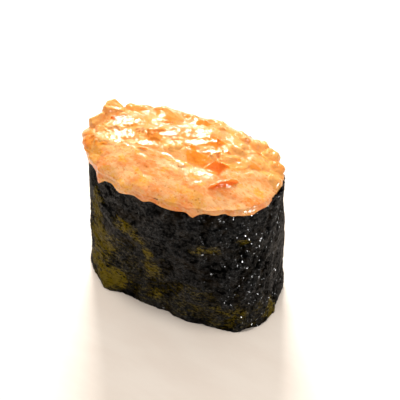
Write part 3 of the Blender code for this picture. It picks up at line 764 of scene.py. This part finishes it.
# The sauce has levelled out in pools between the pieces, and the window shines in them: place,
# half length along the window's edge and half width, in millimetres.
POOLS = (
    (-14.6, -0.6, 4.8, 1.7),
    (-13.8, -5.2, 5.2, 1.9),
    (-5.8, -5.1, 2.4, 1.0),
    (-8.0, 4.4, 2.0, 0.8),
    (-3.2, -0.5, 2.6, 1.0),
    (-2.0, 6.1, 4.0, 1.5),
    (2.5, 4.3, 2.2, 2.2),
    (3.3, 1.0, 4.0, 1.0),
    (7.7, 0.3, 3.0, 0.7),
    (4.1, -6.8, 1.0, 0.6),
    (9.3, 1.7, 1.2, 0.7),
    (13.7, 5.2, 1.8, 0.7),
)
POOL_TURN = math.radians(31.7)


def pool_at(point):
    """The pool that a point lies in or near, and how much it is in it, 0 to 1."""
    torn = 0.45 * noise.noise(point / (1.5 * MM)) + 0.25 * noise.noise(point / (0.6 * MM))
    best, inside = 0, 0.0
    for number, (x, y, half_length, half_width) in enumerate(POOLS):
        aside, beyond = point.x / MM - x, point.y / MM - y
        run = (aside * math.cos(POOL_TURN) + beyond * math.sin(POOL_TURN)) / half_length
        across = (beyond * math.cos(POOL_TURN) - aside * math.sin(POOL_TURN)) / half_width
        share = ease(1.8 * (1.25 - math.hypot(run, across) + torn))
        if share > inside:
            best, inside = number, share
    return best, inside


def bit_field(point, spacing, depth, slope, seed):
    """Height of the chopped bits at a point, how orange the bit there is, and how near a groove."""
    bent = point + noise.noise_vector(point / (2.4 * MM) + Vector((seed, 0.0, 0.0))) * 0.35 * spacing.y
    column, row = math.floor(bent.x / spacing.x), math.floor(bent.y / spacing.y)
    best, second, tone = -1.0, -1.0, 0.0
    for i in range(column - 1, column + 2):
        for j in range(row - 1, row + 2):
            here = noise.cell_vector(Vector((i + seed, j + 0.5, 0.5)))
            more = noise.cell_vector(Vector((i + 0.5, j + seed, 7.5)))
            across = bent.x / spacing.x - (i + 0.5 + 0.45 * (here.x * 2 - 1))
            along = bent.y / spacing.y - (j + 0.5 + 0.45 * (here.y * 2 - 1))
            tilt = slope * ((more.x * 2 - 1) * across + (more.y * 2 - 1) * along)
            rise = 0.6 * here.z + tilt * 2.0 - (across * across + along * along) ** 1.5
            if rise > best:
                best, second, tone = rise, best, more.z
            elif rise > second:
                second = rise
    return depth * best, tone, ease((best - second) / 0.35)


flesh = mound.data.attributes.new("flesh", "FLOAT", "POINT")
tone_of = mound.data.attributes.new("tone", "FLOAT", "POINT")
groove = mound.data.attributes.new("groove", "FLOAT", "POINT")
levels = [[] for _ in POOLS]
in_pool = {}
for vert in mound.data.vertices:
    if vert.co.z > STRIP_WIDTH and vert.normal.z > 0.6:
        number, share = pool_at(vert.co)
        if share > 0.0:
            in_pool[vert.index] = (number, share)
            levels[number].append(vert.co.z)
levels = [sum(heights) / max(1, len(heights)) for heights in levels]
moved = []
for vert in mound.data.vertices:
    if vert.co.z < BARE_FROM:
        continue
    calm = smoothed(vert.co.x, vert.co.y)
    _, _, face, gap = piece_surface.find_nearest(vert.co, 1.2 * MM)
    bare = 0.0 if face is None else ease(1.0 - (gap - 0.05 * MM) / (0.35 * MM))
    flat = Vector((vert.co.x, vert.co.y + 0.6 * (vert.co.z - STRIP_WIDTH), 0.0))
    rise, tone, edge = bit_field(flat, *BITS[0])
    small_rise, small_tone, small_edge = bit_field(flat, *BITS[1])
    lift = (rise * (1.0 - 0.6 * bare) + small_rise) * blend(1.0, 0.2, calm)
    lift -= SUNK * (1.0 - 0.7 * bare)
    number, pool = in_pool.get(vert.index, (0, 0.0))
    lift *= 1.0 - pool
    lift += calm * BULGE_DEPTH * noise.noise(vert.co / BULGE_LENGTH)
    lift += GRIT_DEPTH * noise.noise(vert.co / GRIT_LENGTH)
    outside = abs(vert.co.x) / RIM_HALF_LENGTH > 0.9 or vert.normal.z < 0.3
    lift *= ease((vert.co.z - STRIP_WIDTH + (1.2 * MM if outside else 0.0)) / (1.0 * MM))
    piece_tone = piece_tones[face] if face else 0.5
    tone_of.data[vert.index].value = blend(0.65 * tone + 0.35 * small_tone, piece_tone, bare)
    flesh.data[vert.index].value = max(bare, (1.0 - calm) * edge * 0.8)
    groove.data[vert.index].value = (1.0 - edge * blend(0.6, 1.0, small_edge)) * (1.0 - bare)
    place = vert.co + vert.normal * lift
    place.z = blend(place.z, levels[number] + lift, 0.85 * pool)
    moved.append((vert.index, place))
for index, place in moved:
    mound.data.vertices[index].co = place
mound.data.shade_smooth()

SAUCE_PALE = (0.82, 0.43, 0.175, 1.0)
SAUCE_PEACH = (0.80, 0.245, 0.060, 1.0)
SAUCE_YELLOW = (0.81, 0.350, 0.035, 1.0)
FLESH_PEACH = (0.81, 0.370, 0.095, 1.0)
FLESH_ORANGE = (0.80, 0.210, 0.003, 1.0)
FLESH_VIVID = (0.80, 0.125, 0.0003, 1.0)
SPECK_BROWN = (0.52, 0.13, 0.008, 1.0)

topping_material, shader = new_material("creamy_mussel")
nodes = Nodes(topping_material)
place = nodes.add("ShaderNodeTexCoord").outputs["Object"]
along = nodes.mapped(place, (0.55, 1.0, 0.8))
clouds = nodes.noise(along, 230.0, 4.0, 0.65)
curds = nodes.noise(nodes.mapped(along, (1.0, 1.0, 1.0), (0.5, 0.2, 0.9)), 420.0, 4.0, 0.6)
mottle = nodes.noise(place, 1100.0, 4.0, 0.65)
sauce = nodes.mix(nodes.span(clouds, 0.44, 0.57), SAUCE_PEACH, SAUCE_PALE)
sauce = nodes.mix(nodes.span(curds, 0.52, 0.60, 0.0, 0.9), sauce, SAUCE_YELLOW)
sauce = nodes.mix(nodes.span(curds, 0.44, 0.34, 0.0, 0.6), sauce, FLESH_ORANGE)
sauce = nodes.mix(nodes.span(mottle, 0.50, 0.64, 0.0, 0.45), sauce, SAUCE_PEACH)
sauce = nodes.mix(nodes.span(mottle, 0.48, 0.36, 0.0, 0.40), sauce, SAUCE_PALE)
shreds = nodes.noise(along, 2300.0, 3.0, 0.6)
sauce = nodes.mix(nodes.span(shreds, 0.55, 0.64, 0.0, 0.60), sauce, FLESH_ORANGE)
sauce = nodes.mix(nodes.span(shreds, 0.44, 0.34, 0.0, 0.65), sauce, SAUCE_PALE)
meat = nodes.mix(nodes.span(nodes.attribute("tone"), 0.30, 0.78), FLESH_PEACH, FLESH_ORANGE)
meat = nodes.mix(nodes.span(mottle, 0.50, 0.75, 0.0, 0.35), meat, SAUCE_YELLOW)
meat = nodes.mix(nodes.span(nodes.attribute("tone"), 0.90, 0.99), meat, FLESH_VIVID)
cover = nodes.math("MULTIPLY", nodes.attribute("flesh"), nodes.span(mottle, 0.25, 0.6, 1.0, 0.85))
colour = nodes.mix(cover, sauce, meat)
colour = nodes.mix(nodes.math("MULTIPLY", nodes.attribute("groove"), 0.30), colour, SAUCE_PALE)
dots = nodes.cells(place, 1150.0)
few = nodes.noise(nodes.mapped(place, (1.0, 1.0, 1.0), (0.3, 0.1, 0.7)), 700.0, 2.0)
specks = nodes.math("MULTIPLY", nodes.span(dots, 0.14, 0.34, 1.0, 0.0), nodes.span(few, 0.47, 0.56))
colour = nodes.mix(nodes.math("MULTIPLY", specks, 0.55), colour, SPECK_BROWN)
nodes.join(colour, shader.inputs["Base Color"])
nodes.join(nodes.span(mottle, 0.3, 0.7, 0.14, 0.26), shader.inputs["Roughness"])
height = nodes.math("ADD", mottle, nodes.math("MULTIPLY", nodes.noise(place, 2600.0), 0.3))
bump = nodes.add("ShaderNodeBump", {"Strength": 0.6, "Distance": 0.14 * MM, "Height": height})
nodes.join(bump.outputs[0], shader.inputs["Normal"])
shader.inputs["Specular IOR Level"].default_value = 0.20
shader.inputs["Subsurface Weight"].default_value = 0.20
shader.inputs["Subsurface Radius"].default_value = (1.0, 0.38, 0.12)
shader.inputs["Subsurface Scale"].default_value = 0.8 * MM
nodes.join(nodes.span(nodes.attribute("tone"), 0.88, 0.99, 0.25, 0.05), shader.inputs["Coat Weight"])
shader.inputs["Coat Roughness"].default_value = 0.06
shader.inputs["Coat IOR"].default_value = 1.33
mound.data.materials.append(topping_material)
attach(mound, "root")
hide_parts("topping")


# The floor: a plain pale board that runs out of view on every side.
bpy.ops.object.select_all(action="DESELECT")
bpy.ops.mesh.primitive_plane_add(size=6.0, location=(0, 0, 0))
floor = bpy.context.object
floor.name = "floor"
bpy.ops.object.transform_apply(location=True)
floor_material, shader = new_material("pale_board")
nodes = Nodes(floor_material)
place = nodes.add("ShaderNodeTexCoord").outputs["Object"]
streaks = nodes.noise(nodes.mapped(place, (0.35, 1.0, 1.0)), 120.0, 4.0, 0.6)
colour = nodes.mix(nodes.span(streaks, 0.3, 0.7), (0.82, 0.70, 0.59, 1.0), (0.86, 0.75, 0.64, 1.0))
nodes.join(colour, shader.inputs["Base Color"])
shader.inputs["Roughness"].default_value = 0.55
floor.data.materials.append(floor_material)


# The light: a bright window behind the block and a little to its left, a ceiling lamp that gives
# the soft shadow at its foot, a small desk lamp that only glints, and a pale room all round.
CAMERA_AZIMUTH = math.radians(31.7)
CAMERA_ELEVATION = math.radians(40.6)


def direction_at(azimuth, elevation):
    """The direction from the block to a place, as a unit vector."""
    level = math.cos(elevation)
    return Vector((math.sin(azimuth) * level, -math.cos(azimuth) * level, math.sin(elevation)))


def add_softbox(name, from_camera, elevation, distance, size, power):
    """A square area light that faces the middle of the block, placed by degrees; gives its object."""
    light = bpy.data.lights.new(name, "AREA")
    light.shape = "SQUARE"
    light.size = size
    light.energy = power
    lamp = bpy.data.objects.new(name, light)
    toward = direction_at(CAMERA_AZIMUTH + math.radians(from_camera), math.radians(elevation))
    lamp.location = Vector((0, 0, 20 * MM)) + toward * distance
    lamp.rotation_euler = toward.to_track_quat("Z", "Y").to_euler()
    bpy.context.scene.collection.objects.link(lamp)
    return lamp


add_softbox("window", from_camera=182, elevation=38, distance=0.75, size=0.18, power=6.0)
desk_lamp = add_softbox("desk_lamp", from_camera=40, elevation=9, distance=0.70, size=0.10, power=14.0)
desk_lamp.visible_diffuse = False
ceiling_lamp = add_softbox("ceiling_lamp", from_camera=0, elevation=89, distance=0.80, size=0.12, power=3.0)
ceiling_lamp.visible_glossy = False

# The room is bright overhead and dim near the floor, which keeps the nori dark.
ROOM_HIGH, ROOM_LOW = 0.72, 0.24
world = bpy.data.worlds.new("pale_room")
world.use_nodes = True
nodes = Nodes(world)
background = world.node_tree.nodes["Background"]
background.inputs["Color"].default_value = (1.0, 1.0, 1.0, 1.0)
direction = nodes.add("ShaderNodeTexCoord").outputs["Generated"]
level = nodes.add("ShaderNodeSeparateXYZ", {"Vector": direction}).outputs["Z"]
nodes.join(nodes.span(level, 0.10, 0.75, ROOM_LOW, ROOM_HIGH), background.inputs["Strength"])
bpy.context.scene.world = world
bpy.context.scene.view_settings.view_transform = "Standard"


# The camera, a little above the block and to its right.
CAMERA_DISTANCE = 174.3 * MM
AIM_RIGHT, AIM_UP = 3.77 * MM, 17.07 * MM
back = direction_at(CAMERA_AZIMUTH, CAMERA_ELEVATION)
right = Vector((math.cos(CAMERA_AZIMUTH), math.sin(CAMERA_AZIMUTH), 0.0))
up = back.cross(right)
lens = bpy.data.cameras.new("camera")
lens.sensor_width = 36.0
lens.lens = 62.9
lens.clip_start = 0.005
camera = bpy.data.objects.new("camera", lens)
bpy.context.scene.collection.objects.link(camera)
eye = back * CAMERA_DISTANCE + right * AIM_RIGHT + up * AIM_UP
camera.matrix_world = Matrix.Translation(eye) @ Matrix((right, up, back)).transposed().to_4x4()
bpy.context.scene.camera = camera
